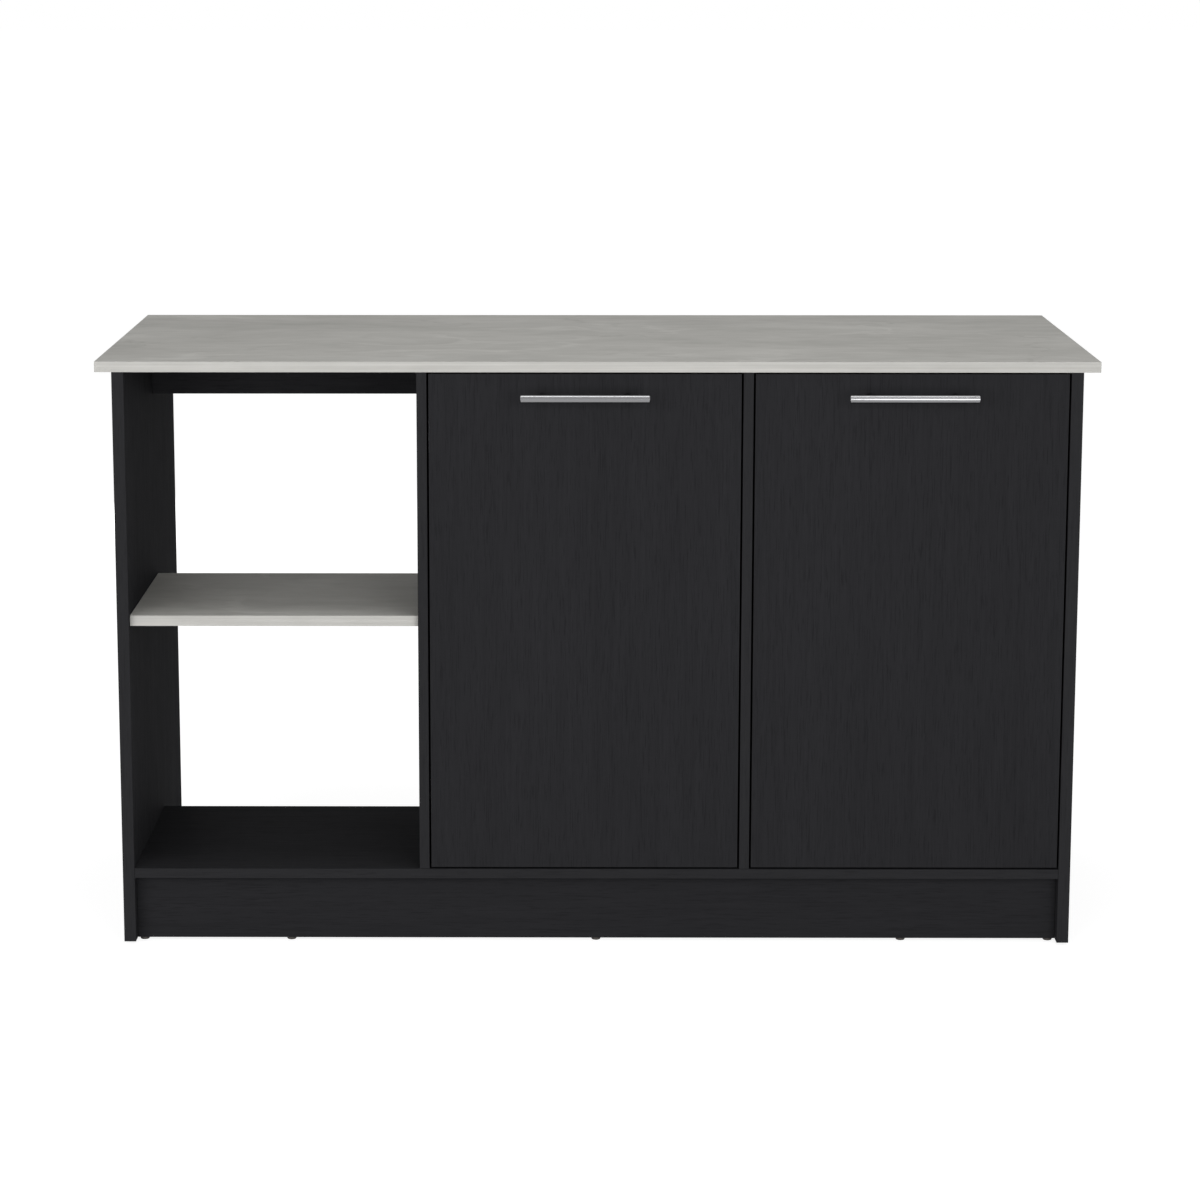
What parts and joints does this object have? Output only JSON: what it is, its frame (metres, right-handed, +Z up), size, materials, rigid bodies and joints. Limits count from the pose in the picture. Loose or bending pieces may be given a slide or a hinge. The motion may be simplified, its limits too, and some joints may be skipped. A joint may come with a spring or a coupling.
{
  "type": "kitchen island unit",
  "caption": "Free-standing kitchen island with a laminate worktop, an open shelf bay, hinged cupboards with bar handles, and an open knee space at the rear.",
  "frame": {"origin": "bottom centre of the whole unit's box, on the floor", "axes": "+X to the right seen from the front, +Y to the rear, +Z up; the doors and open bay face -Y"},
  "size_m": [1.5, 0.714, 0.9],
  "materials": {
    "black_laminate": "black laminate with a fine wood grain, on chipboard",
    "grey_laminate": "grey stone-effect laminate, on chipboard",
    "handle_steel": "satin, polished on the bar",
    "fitting_steel": "bright zinc plate",
    "glide_plastic": "dark grey-brown moulded plastic"
  },
  "bodies": {
    "carcass": {"countertop": "grey_laminate", "left_side_panel": "black_laminate", "right_side_panel": "black_laminate", "left_divider": "black_laminate", "right_divider": "black_laminate", "bottom_board": "black_laminate", "front_plinth": "black_laminate", "rear_plinth": "black_laminate", "open_bay_back_rail": "black_laminate", "rear_apron": "black_laminate", "left_cupboard_back": "black_laminate", "right_cupboard_back": "black_laminate", "left_cupboard_shelf": "black_laminate", "right_cupboard_shelf": "black_laminate", "open_bay_shelf": "grey_laminate", "left_shelf_peg_1": "fitting_steel", "left_shelf_peg_2": "fitting_steel", "left_shelf_peg_3": "fitting_steel", "left_shelf_peg_4": "fitting_steel", "right_shelf_peg_1": "fitting_steel", "right_shelf_peg_2": "fitting_steel", "right_shelf_peg_3": "fitting_steel", "right_shelf_peg_4": "fitting_steel", "front_plinth_glide_1": "glide_plastic", "front_plinth_glide_2": "glide_plastic", "front_plinth_glide_3": "glide_plastic", "front_plinth_glide_4": "glide_plastic", "front_plinth_glide_5": "glide_plastic", "rear_plinth_glide_1": "glide_plastic", "rear_plinth_glide_2": "glide_plastic", "rear_plinth_glide_3": "glide_plastic", "left_panel_front_glide": "glide_plastic", "left_panel_rear_glide": "glide_plastic", "right_panel_front_glide": "glide_plastic", "right_panel_rear_glide": "glide_plastic", "left_lower_hinge_arm": "fitting_steel", "left_upper_hinge_arm": "fitting_steel", "right_lower_hinge_arm": "fitting_steel", "right_upper_hinge_arm": "fitting_steel"},
    "left_door": {"left_door": "black_laminate", "left_handle_bar": "handle_steel", "left_handle_post_1": "handle_steel", "left_handle_post_2": "handle_steel", "left_handle_screw_1": "fitting_steel", "left_handle_screw_2": "fitting_steel", "left_lower_hinge_cup": "fitting_steel", "left_lower_hinge_pin": "fitting_steel", "left_upper_hinge_cup": "fitting_steel", "left_upper_hinge_pin": "fitting_steel"},
    "right_door": {"right_door": "black_laminate", "right_handle_bar": "handle_steel", "right_handle_post_1": "handle_steel", "right_handle_post_2": "handle_steel", "right_handle_screw_1": "fitting_steel", "right_handle_screw_2": "fitting_steel", "right_lower_hinge_cup": "fitting_steel", "right_lower_hinge_pin": "fitting_steel", "right_upper_hinge_cup": "fitting_steel", "right_upper_hinge_pin": "fitting_steel"}
  },
  "joints": [
    {"name": "left_door_hinge", "type": "hinge", "parent": "carcass", "child": "left_door", "pos_m": [-0.2385, -0.3038, 0.5], "axis": [0, 0, -1], "range_deg": [0, 95]},
    {"name": "right_door_hinge", "type": "hinge", "parent": "carcass", "child": "right_door", "pos_m": [0.6905, -0.3038, 0.5], "axis": [0, 0, 1], "range_deg": [0, 95]}
  ]
}
